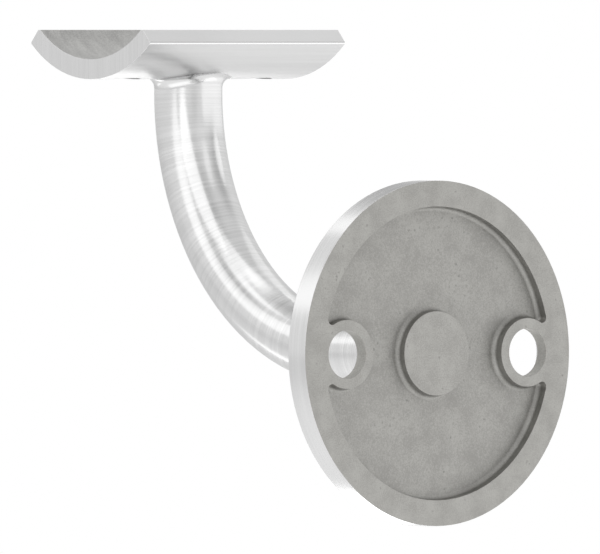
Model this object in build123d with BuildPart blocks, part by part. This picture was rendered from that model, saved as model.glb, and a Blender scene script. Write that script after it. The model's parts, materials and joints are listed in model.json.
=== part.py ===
from build123d import *
import os

os.makedirs("parts", exist_ok=True)

# A wall bracket for a round handrail, cast in one piece: a round wall plate, a round stem that
# bends upwards through a quarter circle, and a trough-shaped saddle that the rail lies in.
# The origin is the centre of the plate's back face. +Y points into the wall, +Z is up, and the
# bracket stands out from the wall along -Y. Sizes are in millimetres.

# Wall plate
plate_diameter = 60.0
plate_thickness = 4.8
plate_edge_chamfer = 0.3

# Pocket in the back of the plate, with its bosses left standing
pocket_diameter = 51.0
pocket_depth = 2.0
pocket_floor_radius = 0.8
pocket_corner_radius = 0.9
hub_diameter = 14.7
hub_recess = 0.25
screw_boss_diameter = 12.0

# Countersunk holes for the two wall screws
wall_hole_pitch = 41.0
wall_hole_diameter = 8.4
countersink_diameter = 12.2
countersink_angle = 90
countersink_recess = 0.55

# Stem
stem_diameter = 12.0
stem_standoff = 68.0
bend_radius = 45.0
riser_length = 2.5
stem_plate_fillet = 2.0
stem_saddle_fillet = 2.0

# Saddle
rail_diameter = 42.4
saddle_wall = 3.5
saddle_length = 44.5
saddle_half_angle = 42
saddle_depth = 5.16
saddle_edge_radius = 0.35
saddle_hole_pitch = 30.0
saddle_hole_diameter = 6.4

# Places that follow from the sizes
saddle_bottom = bend_radius + riser_length
rail_radius = rail_diameter / 2
rail_height = saddle_bottom + saddle_wall + rail_radius
land_height = saddle_bottom + saddle_wall + saddle_depth

with BuildPart() as bracket:
    # Plate: a disc whose back face lies on the wall. Plane.XZ looks along -Y, away from the wall.
    with BuildSketch(Plane.XZ):
        Circle(plate_diameter / 2)
    extrude(amount=plate_thickness)
    chamfer(bracket.faces().sort_by(Axis.Y)[0].edges(), plate_edge_chamfer)

    # Pocket: the screw bosses run into the rim, and small corners round off where they meet it.
    with BuildSketch(Plane.XZ) as pocket:
        Circle(pocket_diameter / 2)
        Circle(hub_diameter / 2, mode=Mode.SUBTRACT)
        with GridLocations(wall_hole_pitch, 0, 2, 1):
            Circle(screw_boss_diameter / 2, mode=Mode.SUBTRACT)
        fillet(pocket.vertices().filter_by(lambda v: abs(v.Y) > 0.001), pocket_corner_radius)
    extrude(amount=pocket_depth, mode=Mode.SUBTRACT)
    pocket_floor = bracket.faces().filter_by(Axis.Y).sort_by(Axis.Y)[1]
    fillet(pocket_floor.edges(), pocket_floor_radius)
    with BuildSketch(Plane.XZ):
        Circle(hub_diameter / 2)
    extrude(amount=hub_recess, mode=Mode.SUBTRACT)

    # Wall holes: countersunk from the front, with the countersink's mouth just below the face.
    with Locations(Plane.XZ.offset(plate_thickness - countersink_recess)):
        with GridLocations(wall_hole_pitch, 0, 2, 1):
            CounterSinkHole(
                wall_hole_diameter / 2,
                countersink_diameter / 2,
                depth=plate_thickness,
                counter_sink_angle=countersink_angle,
            )

    # Stem: straight out from the plate, a quarter circle upwards, and a short riser.
    with BuildLine(Plane.YZ) as stem_path:
        foot = Line((-pocket_depth, 0), (bend_radius - stem_standoff, 0))
        bend = JernArc(foot @ 1, (-1, 0), bend_radius, -90)
        Line(bend @ 1, (-stem_standoff, saddle_bottom + saddle_wall / 2))
    with BuildSketch(Plane.XZ.offset(pocket_depth)):
        Circle(stem_diameter / 2)
    sweep(path=stem_path.wires()[0])

    # Saddle: a slice of a tube that fits the rail, with radial sides and level lands on top.
    with BuildSketch(Plane.YZ) as saddle_section:
        with BuildLine():
            outside = CenterArc(
                (-stem_standoff, rail_height),
                rail_radius + saddle_wall,
                -90 - saddle_half_angle,
                2 * saddle_half_angle,
            )
            inside = CenterArc(
                (-stem_standoff, rail_height),
                rail_radius,
                -90 - saddle_half_angle,
                2 * saddle_half_angle,
            )
            Line(outside @ 0, inside @ 0)
            Line(outside @ 1, inside @ 1)
        make_face()
        with Locations((-stem_standoff, land_height)):
            Rectangle(rail_diameter, saddle_wall, align=(Align.CENTER, Align.MIN), mode=Mode.SUBTRACT)
        outer_corners = saddle_section.vertices().sort_by(Axis.X)
        fillet([outer_corners[0], outer_corners[-1]], saddle_edge_radius)
    extrude(amount=saddle_length / 2, both=True)

    # Cast blends where the stem meets the plate and the saddle.
    plate_joint = bracket.edges().sort_by_distance((0, -plate_thickness, 0))[0]
    fillet(plate_joint, stem_plate_fillet)
    saddle_joint = (
        bracket.edges()
        .filter_by_position(Axis.X, -stem_diameter, stem_diameter)
        .filter_by_position(Axis.Z, saddle_bottom - riser_length / 4, saddle_bottom + saddle_wall / 2)
    )
    fillet(saddle_joint, stem_saddle_fillet)

    # Saddle holes: two plain holes straight down, for screws that go up into the rail.
    with Locations((0, -stem_standoff, land_height)):
        with GridLocations(saddle_hole_pitch, 0, 2, 1):
            Hole(saddle_hole_diameter / 2, depth=saddle_depth + saddle_wall)

bracket.part.label = "bracket"
export_step(bracket.part, "parts/bracket.step")
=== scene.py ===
import json
import math

import bmesh
import bpy
import numpy as np
from mathutils import Matrix, Quaternion, Vector


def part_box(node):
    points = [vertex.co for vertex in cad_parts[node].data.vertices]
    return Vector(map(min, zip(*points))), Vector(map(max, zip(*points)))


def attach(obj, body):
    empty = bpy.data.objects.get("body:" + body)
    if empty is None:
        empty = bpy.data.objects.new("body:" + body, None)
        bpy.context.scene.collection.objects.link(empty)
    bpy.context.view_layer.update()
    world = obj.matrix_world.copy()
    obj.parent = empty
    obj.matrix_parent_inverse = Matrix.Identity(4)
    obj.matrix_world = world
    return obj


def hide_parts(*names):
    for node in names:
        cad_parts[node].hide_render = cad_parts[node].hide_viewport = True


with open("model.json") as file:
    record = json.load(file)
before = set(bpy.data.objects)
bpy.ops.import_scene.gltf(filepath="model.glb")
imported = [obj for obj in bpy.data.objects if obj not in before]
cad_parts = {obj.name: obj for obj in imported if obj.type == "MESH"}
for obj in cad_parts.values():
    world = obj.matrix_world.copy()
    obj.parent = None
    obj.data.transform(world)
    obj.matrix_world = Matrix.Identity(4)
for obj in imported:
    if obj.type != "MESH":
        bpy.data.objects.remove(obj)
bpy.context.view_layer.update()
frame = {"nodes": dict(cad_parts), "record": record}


# The form of the casting
# A wall bracket for a round handrail, one investment casting in stainless steel: wall plate, bent
# stem and saddle are poured together. Blasting and brushing leave every edge slightly broken,
# apart from the two holes that are drilled through the saddle afterwards.

mounts = {mount["name"]: mount for mount in frame["record"]["mounts"]}
saddle_holes = mounts["saddle_holes"]
rail_seat = mounts["rail_seat"]

plate_thickness = 0.0048
stem_radius = 0.006
stem_standoff = -rail_seat["pos_m"][1]
blend_radius = 0.002
rail_radius = rail_seat["dims"]["r_mm"] / 1000
rail_height = rail_seat["pos_m"][2] + rail_radius
saddle_wall = 0.0035
drill_x = saddle_holes["dims"]["spacing_x_mm"] / 2000
drill_radius = saddle_holes["dims"]["hole_r_mm"] / 1000

same_point = 1e-6
sliver = same_point / 10
on_drill = 0.00003
flat_angle = math.radians(0.02)
sharp_angle = math.radians(28)
edge_break = 0.00006


def distance_to_holes(points, hole_x, hole_y, axis):
    """Distance of each point from the nearer of two hole axes, which stand at plus and minus hole_x.
    The axes are parallel to axis (1 for y, 2 for z) and cross the other direction at hole_y."""
    other = 2 if axis == 1 else 1
    return np.hypot(np.abs(points[:, 0]) - hole_x, points[:, other] - hole_y)


def broken_edges(packed):
    """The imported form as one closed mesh: its patches are joined, its flat faces made whole, and its
    sharp edges rounded over, except round the drilled holes. The slivers that this leaves are closed."""
    form = bmesh.new()
    form.from_mesh(packed)
    bmesh.ops.remove_doubles(form, verts=form.verts, dist=same_point)
    flat = [edge for edge in form.edges if edge.calc_face_angle() < flat_angle]
    bmesh.ops.dissolve_edges(form, edges=flat, use_verts=False, use_face_split=False)

    sharp = [edge for edge in form.edges if edge.calc_face_angle() > sharp_angle]
    ends = np.array([[vertex.co for vertex in edge.verts] for edge in sharp])
    reach = distance_to_holes(ends.reshape(-1, 3), drill_x, -stem_standoff, axis=2)
    drilled = (np.abs(reach - drill_radius) < on_drill).reshape(-1, 2).all(axis=1)
    for edge, is_drilled in zip(sharp, drilled):
        edge.smooth = not is_drilled
    softened = [edge for edge, is_drilled in zip(sharp, drilled) if not is_drilled]
    bmesh.ops.bevel(
        form, geom=softened, offset=edge_break, offset_type="OFFSET",
        segments=2, profile=0.5, affect="EDGES",
    )
    bmesh.ops.remove_doubles(form, verts=form.verts, dist=sliver)
    for face in form.faces:
        face.smooth = True
    mesh = bpy.data.meshes.new("casting")
    form.to_mesh(mesh)
    form.free()
    return mesh


casting = bpy.data.objects.new("casting", broken_edges(frame["nodes"]["bracket"].data))
bpy.context.scene.collection.objects.link(casting)
evened = casting.modifiers.new("evened_normals", "WEIGHTED_NORMAL")
evened.keep_sharp = True


def ball_normals(points, on_axis, height_of_axis, rounds=12):
    """The normals of a blend as a rolling ball leaves it, and which points lie on the blend. The ball
    rolls round the stem, so its centre is at a fixed distance from the stem's axis. It also stays at
    the distance on_axis from a second axis along x, which is height_of_axis above the point where the
    stem's axis starts. The normal of a point shows to the nearest place of the ball's centre. Each
    round turns that place by how far it still is from the nearest one, over its speed squared."""
    round_stem = stem_radius + blend_radius
    turn = np.arctan2(points[:, 1], points[:, 0])
    for _ in range(rounds):
        x, y = round_stem * np.cos(turn), round_stem * np.sin(turn)
        below_axis = np.sqrt(on_axis ** 2 - y ** 2)
        centre = np.stack([x, y, height_of_axis - below_axis], axis=1)
        onwards = np.stack([-y, x, x * y / below_axis], axis=1)
        turn -= ((centre - points) * onwards).sum(axis=1) / (onwards ** 2).sum(axis=1)
    towards = centre - points
    distance = np.linalg.norm(towards, axis=1)
    return towards / distance[:, None], np.abs(distance - blend_radius) < same_point


def blend_normals(points, normals, nearly_flat=1000.0):
    """The normals of points with those on the two blends of the stem made exact: the one under the
    saddle, and the one at the plate. The plate's face is taken as a cylinder of the radius nearly_flat,
    and the points are turned there so that the stem's axis, which is level, stands up."""
    under_saddle = points + (0, stem_standoff, 0)
    exact, on_blend = ball_normals(under_saddle, rail_radius + saddle_wall + blend_radius, rail_height)
    normals = np.where(on_blend[:, None], exact, normals)
    at_plate = np.stack([points[:, 0], points[:, 2], -points[:, 1]], axis=1)
    exact, on_blend = ball_normals(at_plate, nearly_flat, plate_thickness + blend_radius + nearly_flat)
    exact = np.stack([exact[:, 0], -exact[:, 2], exact[:, 1]], axis=1)
    return np.where(on_blend[:, None], exact, normals)


corner_normals = np.zeros((len(casting.data.loops), 3))
evaluated = casting.evaluated_get(bpy.context.evaluated_depsgraph_get())
evaluated.data.corner_normals.foreach_get("vector", corner_normals.ravel())
corner_points = np.array([vertex.co for vertex in casting.data.vertices])
vertex_of_corner = np.zeros(len(casting.data.loops), dtype=np.int32)
casting.data.loops.foreach_get("vertex_index", vertex_of_corner)
casting.modifiers.clear()
casting.data.normals_split_custom_set(blend_normals(corner_points[vertex_of_corner], corner_normals))
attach(casting, "root")
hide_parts("bracket")


# The finishes of the casting
# The plate's back, its pocket, the bores of the wall holes and the trough keep the grey skin of the
# blasted casting. The rest is brushed: in rings on the plate, round the stem, along the rail on the
# saddle, whose outer edges are rubbed bright, and up and down on its ends. Its cut edges are duller.
# The pocket's floor and corners are darkened with painted shade.

wall_holes = mounts["wall_holes"]
wall_hole_x = wall_holes["dims"]["spacing_x_mm"] / 2000
wall_hole_radius = wall_holes["dims"]["hole_r_mm"] / 1000
plate_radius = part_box("bracket")[1].x
pocket_radius = 0.0255
hub_radius = 0.00735
boss_radius = 0.006
countersink_radius = 0.0061
countersink_start = 0.0024
bend_radius = 0.045
saddle_bottom = rail_height - rail_radius - saddle_wall
saddle_half_length = rail_seat["dims"]["length_mm"] / 2000


def add_node(tree, kind, inputs=None, **settings):
    """Adds a node with its settings, and fills its inputs with values or with sockets of other nodes."""
    node = tree.nodes.new(kind)
    for name, value in settings.items():
        setattr(node, name, value)
    for name, value in (inputs or {}).items():
        if isinstance(value, bpy.types.NodeSocket):
            tree.links.new(value, node.inputs[name])
        else:
            node.inputs[name].default_value = value
    return node


def calculate(tree, operation, *values):
    """A Math node's result."""
    return add_node(tree, "ShaderNodeMath", dict(enumerate(values)), operation=operation).outputs[0]


def long_side(tree, a, b):
    """The square root of a squared plus b squared."""
    squares = [calculate(tree, "POWER", side, 2.0) for side in (a, b)]
    return calculate(tree, "SQRT", calculate(tree, "ADD", *squares))


def noise(tree, vector, scale, detail=2.0, roughness=0.5, output="Fac"):
    """A Noise Texture's value, about 0.5 on average, or its Color, three such values."""
    values = {"Vector": vector, "Scale": scale, "Detail": detail, "Roughness": roughness}
    return add_node(tree, "ShaderNodeTexNoise", values).outputs[output]


def stretch(tree, value, low, high, new_low=0.0, new_high=1.0):
    """Takes the range low to high of a value to the range new_low to new_high, and cuts it there."""
    values = {"Value": value, "From Min": low, "From Max": high, "To Min": new_low, "To Max": new_high}
    return add_node(tree, "ShaderNodeMapRange", values).outputs["Result"]


def new_material(name):
    """An empty material and its node tree."""
    material = bpy.data.materials.new(name)
    material.use_nodes = True
    material.node_tree.nodes.clear()
    return material, material.node_tree


def place_on_object(tree):
    """The place on the object, and that place's x, y and z."""
    place = add_node(tree, "ShaderNodeTexCoord").outputs["Object"]
    return place, add_node(tree, "ShaderNodeSeparateXYZ", {"Vector": place}).outputs


def finish_material(tree, surface):
    """Puts the surface's shader on the material's output."""
    add_node(tree, "ShaderNodeOutputMaterial", {"Surface": surface})


def brush_lines_group():
    """Fine parallel scratches. Across is the distance across the lines in metres, and the lines
    break up slowly along their length. Height is their relief, and Sheen is lighter on some lines
    and, more softly, in whole bands that the belt has cut more finely."""
    group = bpy.data.node_groups.new("brush_lines", "ShaderNodeTree")
    group.interface.new_socket("Across", in_out="INPUT", socket_type="NodeSocketFloat")
    group.interface.new_socket("Height", in_out="OUTPUT", socket_type="NodeSocketFloat")
    group.interface.new_socket("Sheen", in_out="OUTPUT", socket_type="NodeSocketFloat")
    across = add_node(group, "NodeGroupInput").outputs["Across"]
    place = add_node(group, "ShaderNodeTexCoord").outputs["Object"]

    def lines(per_metre, length, detail):
        slow = add_node(group, "ShaderNodeVectorMath", {0: place, "Scale": 1 / length}, operation="SCALE")
        fast = calculate(group, "MULTIPLY", across, per_metre)
        values = {"Vector": slow.outputs[0], "W": fast, "Scale": 1.0, "Detail": detail}
        return add_node(group, "ShaderNodeTexNoise", values, noise_dimensions="4D").outputs["Fac"]

    line_share, band_share = 0.6, 0.4
    fine = lines(per_metre=2600, length=0.02, detail=1.0)
    bands = lines(per_metre=420, length=0.06, detail=2.0)
    part_bands = calculate(group, "MULTIPLY", bands, band_share)
    sheen = calculate(group, "MULTIPLY_ADD", fine, line_share, part_bands)
    add_node(group, "NodeGroupOutput", {"Height": fine, "Sheen": sheen})
    return group


brush_lines = brush_lines_group()
sheen_range = (0.38, 0.62)
glancing_tint = (0.8, 0.8, 0.8, 1)


def brushed_steel(name, across_lines, tone=0.66, spread=0.04, relief=0.00001, roughness=(0.17, 0.24)):
    """Brushed stainless steel. across_lines gives the distance across the lines from the axes, and
    the lines are lighter and darker than the tone by up to the spread."""
    material, tree = new_material(name)
    axes = place_on_object(tree)[1]
    brush = add_node(tree, "ShaderNodeGroup", node_tree=brush_lines)
    tree.links.new(across_lines(tree, axes), brush.inputs["Across"])
    height, sheen = brush.outputs["Height"], brush.outputs["Sheen"]
    grey = stretch(tree, sheen, *sheen_range, tone - spread, tone + spread)
    colour = add_node(tree, "ShaderNodeCombineColor", {"Red": grey, "Green": grey, "Blue": grey})
    bump = add_node(tree, "ShaderNodeBump", {"Height": height, "Strength": 1.0, "Distance": relief})
    steel = add_node(
        tree, "ShaderNodeBsdfPrincipled",
        {
            "Base Color": colour.outputs[0],
            "Metallic": 1.0,
            "Specular Tint": glancing_tint,
            "Roughness": stretch(tree, sheen, *sheen_range, *roughness),
            "Normal": bump.outputs["Normal"],
        },
    )
    finish_material(tree, steel.outputs[0])
    return material


def round_plate_axis(tree, axes):
    """Distance across rings round the plate's axis, on its rim and on its front alike: r plus y."""
    return calculate(tree, "ADD", long_side(tree, axes["X"], axes["Z"]), axes["Y"])


def along_stem(tree, axes):
    """Distance along the stem's path: its length from the bend's start, which is the bend's radius
    times the angle turned, and plain distances on the straight foot and riser."""
    outwards = calculate(tree, "SUBTRACT", bend_radius - stem_standoff, axes["Y"])
    under = calculate(tree, "SUBTRACT", bend_radius, axes["Z"])
    in_bend = [calculate(tree, "MAXIMUM", side, 0.0) for side in (outwards, under)]
    bend = calculate(tree, "MULTIPLY", calculate(tree, "ARCTAN2", *in_bend), bend_radius)
    foot = calculate(tree, "MINIMUM", outwards, 0.0)
    riser = calculate(tree, "MINIMUM", under, 0.0)
    return calculate(tree, "SUBTRACT", calculate(tree, "ADD", bend, foot), riser)


def around_rail(tree, axes):
    """Distance across lines that run along the rail: the arc round the rail's axis."""
    outwards = calculate(tree, "ADD", axes["Y"], stem_standoff)
    under = calculate(tree, "SUBTRACT", rail_height, axes["Z"])
    turned = calculate(tree, "ARCTAN2", outwards, under)
    return calculate(tree, "MULTIPLY", turned, rail_radius)


def along_y(tree, axes):
    """Distance across the rings in a countersink, and across upright lines on the saddle's ends."""
    return axes["Y"]


def along_z(tree, axes):
    """Distance across the rings that a drill leaves in an upright hole."""
    return axes["Z"]


skin_relief = 0.00003
raggedness = (0.0006, 0.0006, 0.0006)
pit_darkness = 0.28
cloud_share, grain_share, grit_share = 0.6, 0.4, 0.8


def cast_skin(name, low, high, drawn=None, pocket=False, roughness=(0.46, 0.56)):
    """The blasted skin of the casting: dull grey metal with cloudy mottling, a fine grain and a few
    dark pits. low and high are its darkest and lightest tones. drawn turns the place on the object
    into the place in the mottling, where that is drawn out. pocket adds painted shade on the pocket's
    floor and in its corners."""
    material, tree = new_material(name)
    place, axes = place_on_object(tree)
    in_mottling = drawn(tree, place) if drawn else place
    clouds = noise(tree, in_mottling, scale=260, detail=4.0, roughness=0.55)
    grain = noise(tree, in_mottling, scale=1500, detail=3.0, roughness=0.6)
    grit = noise(tree, place, scale=4200, detail=2.0, roughness=0.7)
    cloudy = calculate(tree, "MULTIPLY", clouds, cloud_share)
    grainy = calculate(tree, "MULTIPLY", grain, grain_share)
    gritty = calculate(tree, "MULTIPLY", calculate(tree, "SUBTRACT", grit, 0.5), grit_share)
    mottle = calculate(tree, "ADD", calculate(tree, "ADD", cloudy, grainy), gritty)
    factor = stretch(tree, mottle, low=0.36, high=0.64)
    colour_a, colour_b = 6, 7
    values = {"Factor": factor, colour_a: (*low, 1), colour_b: (*high, 1)}
    tone = add_node(tree, "ShaderNodeMix", values, data_type="RGBA").outputs[2]

    stray = noise(tree, place, scale=2600, output="Color")
    values = {0: stray, 1: raggedness, 2: place}
    ragged = add_node(tree, "ShaderNodeVectorMath", values, operation="MULTIPLY_ADD").outputs[0]
    spots = add_node(tree, "ShaderNodeTexVoronoi", {"Vector": ragged, "Scale": 900.0})
    pit = calculate(tree, "SUBTRACT", 1.0, stretch(tree, spots.outputs["Distance"], low=0.08, high=0.28))
    rare = stretch(tree, noise(tree, place, scale=260, detail=2.0), low=0.58, high=0.64)
    clean = calculate(tree, "SUBTRACT", 1.0, calculate(tree, "MULTIPLY", rare, pit))

    shade = calculate(tree, "MULTIPLY_ADD", clean, pit_darkness, 1 - pit_darkness)
    if pocket:
        # Painted shade in the pocket: darker on its floor and in its corners.
        shade = calculate(tree, "MULTIPLY", shade, painted_pocket_shade(tree, axes))
    shaded = add_node(tree, "ShaderNodeVectorMath", {0: tone, "Scale": shade}, operation="SCALE")
    relief = calculate(tree, "ADD", grain, clean)
    values = {"Height": relief, "Strength": 1.0, "Distance": skin_relief}
    bump = add_node(tree, "ShaderNodeBump", values)
    skin = add_node(
        tree, "ShaderNodeBsdfPrincipled",
        {
            "Base Color": shaded.outputs[0],
            "Metallic": 1.0,
            "Roughness": stretch(tree, grain, 0.3, 0.7, *roughness),
            "Normal": bump.outputs["Normal"],
        },
    )
    finish_material(tree, skin.outputs[0])
    return material


def painted_pocket_shade(tree, axes):
    """Painted shade: 1 on the plate's land, a little less on the pocket's floor, and less again in its
    corners, where shade falls: by the distance to the nearest of the outer wall, the hub and a boss."""
    from_axis = long_side(tree, axes["X"], axes["Z"])
    aside = calculate(tree, "SUBTRACT", calculate(tree, "ABSOLUTE", axes["X"]), wall_hole_x)
    from_hole = long_side(tree, aside, axes["Z"])
    to_wall = calculate(tree, "SUBTRACT", pocket_radius, from_axis)
    to_hub = calculate(tree, "SUBTRACT", from_axis, hub_radius)
    to_boss = calculate(tree, "SUBTRACT", from_hole, boss_radius)
    nearest = calculate(tree, "MINIMUM", to_wall, calculate(tree, "MINIMUM", to_hub, to_boss))
    # Painted shade, deepest next to the outer wall, the hub and the bosses.
    painted_corner_shade = stretch(tree, nearest, low=0.001, high=0.005, new_low=0.9, new_high=0.945)
    # The painted shade fades in between 0.8 and 1.6 mm below the land, so it lies on the pocket's floor
    # and the deeper part of its walls.
    sunk = stretch(tree, axes["Y"], low=-0.0016, high=-0.0008, new_low=1.0, new_high=0.0)
    darker = calculate(tree, "MULTIPLY", sunk, calculate(tree, "SUBTRACT", painted_corner_shade, 1.0))
    return calculate(tree, "ADD", darker, 1.0)


def drawn_round_trough(tree, place, slant=math.radians(-17), streaks=(0.5, 2.2, 2.2)):
    """The place with its mottling drawn out into streaks, which run aslant round the trough."""
    values = {"Vector": place, "Rotation": (0.0, 0.0, slant), "Scale": streaks}
    return add_node(tree, "ShaderNodeMapping", values, vector_type="TEXTURE").outputs[0]


finishes = {
    "cast_skin": cast_skin(
        "cast_skin", low=(0.311, 0.306, 0.291), high=(0.397, 0.392, 0.373), pocket=True,
    ),
    "trough_skin": cast_skin(
        "trough_skin", low=(0.295, 0.293, 0.286), high=(0.417, 0.415, 0.405), drawn=drawn_round_trough,
    ),
    "bore_skin": cast_skin(
        "bore_skin", low=(0.36, 0.355, 0.337), high=(0.46, 0.454, 0.432), roughness=(0.62, 0.72),
    ),
    "drilled_hole": brushed_steel("drilled_hole", along_z, tone=0.4, roughness=(0.35, 0.4)),
    "turned_plate": brushed_steel("turned_plate", round_plate_axis, spread=0.02, relief=0.000003),
    "turned_countersink": brushed_steel("turned_countersink", along_y, spread=0.02, relief=0.000003),
    "brushed_stem": brushed_steel("brushed_stem", along_stem),
    "smooth_blend": brushed_steel(
        "smooth_blend", along_stem, spread=0.01, relief=0.000001, roughness=(0.2, 0.24),
    ),
    "brushed_saddle": brushed_steel(
        "brushed_saddle", around_rail, tone=0.67, spread=0.02, relief=0.000003, roughness=(0.3, 0.36),
    ),
    "rubbed_edge": brushed_steel(
        "rubbed_edge", around_rail, tone=0.7, spread=0.01, relief=0.000001, roughness=(0.12, 0.16),
    ),
    "linished_edge": brushed_steel(
        "linished_edge", around_rail, tone=0.69, spread=0.03, relief=0.000003, roughness=(0.48, 0.54),
    ),
    "linished_end": brushed_steel(
        "linished_end", along_y, tone=0.635, spread=0.02, relief=0.000005,
    ),
}

near = 0.00004
end_depth = 0.0002
rim_depth = 0.0001
front_depth = 0.0004
countersink_margin = 0.0001
long_edge_from = 0.6 * rail_radius
blend_reach = 1.5 * blend_radius


def finish_of_faces(centres, normals):
    """The number of each face's finish, from where the face lies. The later lines win."""
    x, y, z = centres.T
    faces_x, faces_y, faces_z = normals.T
    from_plate_axis = np.hypot(x, z)
    from_rail_axis = np.hypot(y + stem_standoff, z - rail_height)
    from_riser_axis = np.hypot(x, y + stem_standoff)
    from_wall_hole = distance_to_holes(centres, wall_hole_x, 0.0, axis=1)
    from_drill = distance_to_holes(centres, drill_x, -stem_standoff, axis=2)
    in_plate = y > -plate_thickness - near
    in_saddle = z > saddle_bottom - near
    in_trough = np.abs(from_rail_axis - rail_radius) < near
    in_bore = np.abs(from_wall_hole - wall_hole_radius) < near
    in_drill = np.abs(from_drill - drill_radius) < near
    under_saddle = np.abs(from_rail_axis - rail_radius - saddle_wall) < near
    on_riser = np.abs(from_riser_axis - stem_radius) < near
    at_end = (np.abs(faces_x) > 0.7) & (np.abs(x) > saddle_half_length - end_depth)
    at_long_edge = (np.abs(y + stem_standoff) > long_edge_from) & (np.abs(faces_y) > 0.82)
    near_riser = (from_riser_axis < stem_radius + blend_reach) & (z > saddle_bottom - blend_reach)
    below_trough = z < saddle_bottom + blend_radius
    on_rim = (from_plate_axis > plate_radius - rim_depth) & (faces_y < 0.7)
    on_front = (y < -plate_thickness + front_depth) & (faces_y < -0.5)
    in_countersink = (from_wall_hole < countersink_radius + countersink_margin) & (y < -countersink_start)

    rules = [
        ("brushed_saddle", in_saddle),
        ("linished_edge", in_saddle & (faces_z > 0.5)),
        ("trough_skin", in_saddle & in_trough),
        ("linished_end", in_saddle & at_end),
        ("rubbed_edge", in_saddle & at_long_edge),
        ("smooth_blend", near_riser & ~under_saddle & ~on_riser & below_trough),
        ("drilled_hole", in_saddle & in_drill),
        ("cast_skin", in_plate),
        ("turned_plate", in_plate & (on_rim | on_front)),
        ("bore_skin", in_plate & in_bore),
        ("turned_countersink", in_plate & in_countersink),
    ]
    names = list(finishes)
    finish = np.full(len(centres), names.index("brushed_stem"), dtype=np.int32)
    for name, where in rules:
        finish[where] = names.index(name)
    return finish


def face_vectors(mesh, name):
    """A vector of every face of the mesh, such as its centre, as rows of an array."""
    values = np.zeros(len(mesh.polygons) * 3)
    mesh.polygons.foreach_get(name, values)
    return values.reshape(-1, 3)


for material in finishes.values():
    casting.data.materials.append(material)
face_finish = finish_of_faces(face_vectors(casting.data, "center"), face_vectors(casting.data, "normal"))
casting.data.polygons.foreach_set("material_index", face_finish)


# The studio
# A white room with a pale floor. The bracket hangs free over it, as it does on its wall. Soft boxes
# stand round it and under it, and a few places between them are dimmer, which gives the brushed steel
# its bands. Only what is mirrored shows the dimmer places.

view_azimuth = math.radians(39.845)


def direction(around, up):
    """The direction that is around degrees to the left of the camera and up degrees above the floor,
    as seen from the bracket."""
    turn, rise = view_azimuth + math.radians(around), math.radians(up)
    return Vector((math.sin(turn) * math.cos(rise), math.cos(turn) * math.cos(rise), math.sin(rise)))


floor_height = -0.4
floor_half_width = 12.0
floor_grey = (0.8, 0.8, 0.8, 1)
floor_lift = 0.35
floor_mesh = bpy.data.meshes.new("floor")
corners = [(-1, -1), (1, -1), (1, 1), (-1, 1)]
floor_corners = [(x * floor_half_width, y * floor_half_width, floor_height) for x, y in corners]
floor_mesh.from_pydata(floor_corners, [], [(0, 1, 2, 3)])
floor = bpy.data.objects.new("floor", floor_mesh)
bpy.context.scene.collection.objects.link(floor)


def seen_or_mirrored(tree):
    """1 for what the camera sees, directly, mirrored or through glass, and 0 for light on a surface."""
    rays = add_node(tree, "ShaderNodeLightPath").outputs
    mirrored = calculate(tree, "MAXIMUM", rays["Is Glossy Ray"], rays["Is Transmission Ray"])
    return calculate(tree, "MAXIMUM", rays["Is Camera Ray"], mirrored)


floor_paint, paint_tree = new_material("floor_paint")
matt = add_node(paint_tree, "ShaderNodeBsdfDiffuse", {"Color": floor_grey})
whiter = calculate(paint_tree, "MULTIPLY", seen_or_mirrored(paint_tree), floor_lift)
lift = add_node(paint_tree, "ShaderNodeEmission", {"Strength": whiter})
both = add_node(paint_tree, "ShaderNodeAddShader", {0: matt.outputs[0], 1: lift.outputs[0]})
finish_material(paint_tree, both.outputs[0])
floor_mesh.materials.append(floor_paint)

room_light = 0.65
white = 1.0
dim_places = [
    # around, up, radius in degrees, how much darker than white
    (14, 41, 29, 0.34),
    (-86, 28, 18, 0.25),
    (73, 37, 11, 0.30),
    (-76, 55, 37, 0.16),
    (-20, 1, 11, 0.17),
    (172, 22, 17, 0.31),
]
world = bpy.data.worlds.new("white_room")
world.use_nodes = True
bpy.context.scene.world = world
room_tree = world.node_tree
room_tree.nodes.clear()
looking = add_node(room_tree, "ShaderNodeTexCoord").outputs["Generated"]
rays = add_node(room_tree, "ShaderNodeLightPath").outputs
level = stretch(room_tree, seen_or_mirrored(room_tree), 0.0, 1.0, room_light, white)
for around, up, radius, darker in dim_places:
    values = {0: looking, 1: direction(around, up)}
    cosine = add_node(room_tree, "ShaderNodeVectorMath", values, operation="DOT_PRODUCT")
    angle = calculate(room_tree, "ARCCOSINE", cosine.outputs["Value"])
    inside, outside = math.radians(radius / 2), math.radians(radius * 1.5)
    dim = add_node(
        room_tree, "ShaderNodeMapRange",
        {"Value": angle, "From Min": inside, "From Max": outside, "To Min": darker, "To Max": 0.0},
        interpolation_type="SMOOTHSTEP",
    )
    mirrored = calculate(room_tree, "MULTIPLY", dim.outputs["Result"], rays["Is Glossy Ray"])
    level = calculate(room_tree, "SUBTRACT", level, mirrored)
room = add_node(room_tree, "ShaderNodeBackground", {"Color": (1, 1, 1, 1), "Strength": level})
add_node(room_tree, "ShaderNodeOutputWorld", {"Surface": room.outputs[0]})


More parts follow.
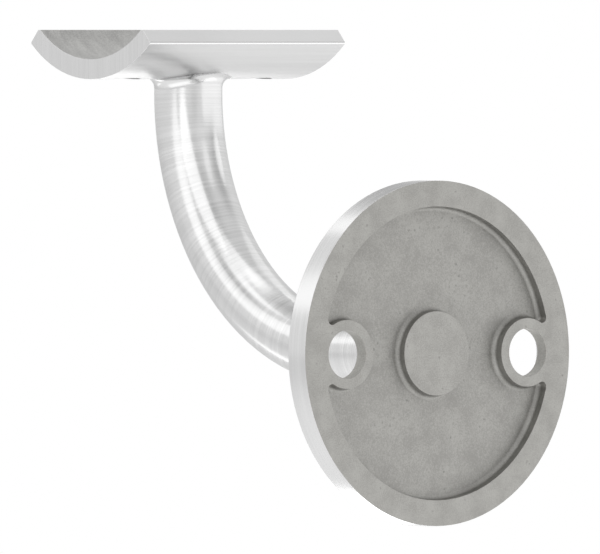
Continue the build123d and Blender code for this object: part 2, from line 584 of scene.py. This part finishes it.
def soft_box(name, around, up, size, radiance, turn=0, shape="RECTANGLE", distance=1.5):
    """A flat lamp that faces the bracket from the direction given and looks size degrees wide and
    high from there. Its radiance is what it adds to the room's own level, where 1 is white."""
    out = direction(around, up)
    width, height = (2 * distance * math.tan(math.radians(angle) / 2) for angle in size)
    lamp = bpy.data.lights.new(name, "AREA")
    lamp.shape = shape
    lamp.size, lamp.size_y = width, height
    area = width * height * (math.pi / 4 if shape == "ELLIPSE" else 1)
    lamp.energy = radiance * math.pi * area
    box = bpy.data.objects.new(name, lamp)
    box.location = out * distance
    box.rotation_mode = "QUATERNION"
    upright = Vector((0, 0, 1)) - out * out.z
    sideways = upright.cross(out)
    facing = Matrix((sideways.normalized(), upright.normalized(), out)).transposed()
    box.rotation_quaternion = facing.to_quaternion() @ Quaternion((0, 0, 1), math.radians(turn))
    box.visible_camera = False
    bpy.context.scene.collection.objects.link(box)


# Name, around, up, width and height in degrees, radiance. The low boxes are nearer, above the floor.
soft_box("overhead_box", 114, 72, (72, 44), 0.58, turn=19)
soft_box("overhead_far_box", 155, 66, (25, 52), 0.25, turn=-34)
soft_box("round_box", 21.5, 30.5, (37, 61), 0.8, shape="ELLIPSE")
soft_box("left_strip", 74, 22.5, (71, 24), 0.51, turn=-20)
soft_box("right_strip", -100, -10, (108, 51), 0.35, turn=-6, distance=0.6)
soft_box("far_round_box", -160, 50, (52, 34), 0.28, shape="ELLIPSE")
soft_box("near_round_box", -44, 34, (20, 21), 0.32, shape="ELLIPSE")
soft_box("right_round_box", -99, 24, (23, 18), 0.63, shape="ELLIPSE")
soft_box("low_far_box", 166, -28, (10, 33), 2.1, turn=40, distance=0.5)
soft_box("low_near_box", 20, -40, (95, 38), 0.42, distance=0.41)
soft_box("low_right_box", -92, -33, (46, 24), 0.4, distance=0.5)
soft_box("low_left_box", 130, -25, (8, 18), 0.93, shape="ELLIPSE", distance=0.65)


# The camera It looks at the plate's back, level with the bracket's top. The photo has no perspective,
# so the lens is very long.

lens = 1400
sensor = 36
photo_width = 0.10495
behind_middle = 0.031
sight = Vector((math.sin(view_azimuth), math.cos(view_azimuth), 0))
middle = Vector((0.01836, -0.01533, 0.01293)) - sight * behind_middle
camera_data = bpy.data.cameras.new("camera")
camera_data.lens = lens
camera_data.sensor_width = sensor
camera_data.clip_start = 0.1
camera = bpy.data.objects.new("camera", camera_data)
camera.location = middle + sight * (photo_width * lens / sensor)
camera.location.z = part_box("bracket")[1].z
camera.rotation_mode = "QUATERNION"
camera.rotation_quaternion = (middle - camera.location).to_track_quat("-Z", "Y")
bpy.context.scene.collection.objects.link(camera)
bpy.context.scene.camera = camera
bpy.context.scene.view_settings.view_transform = "Standard"
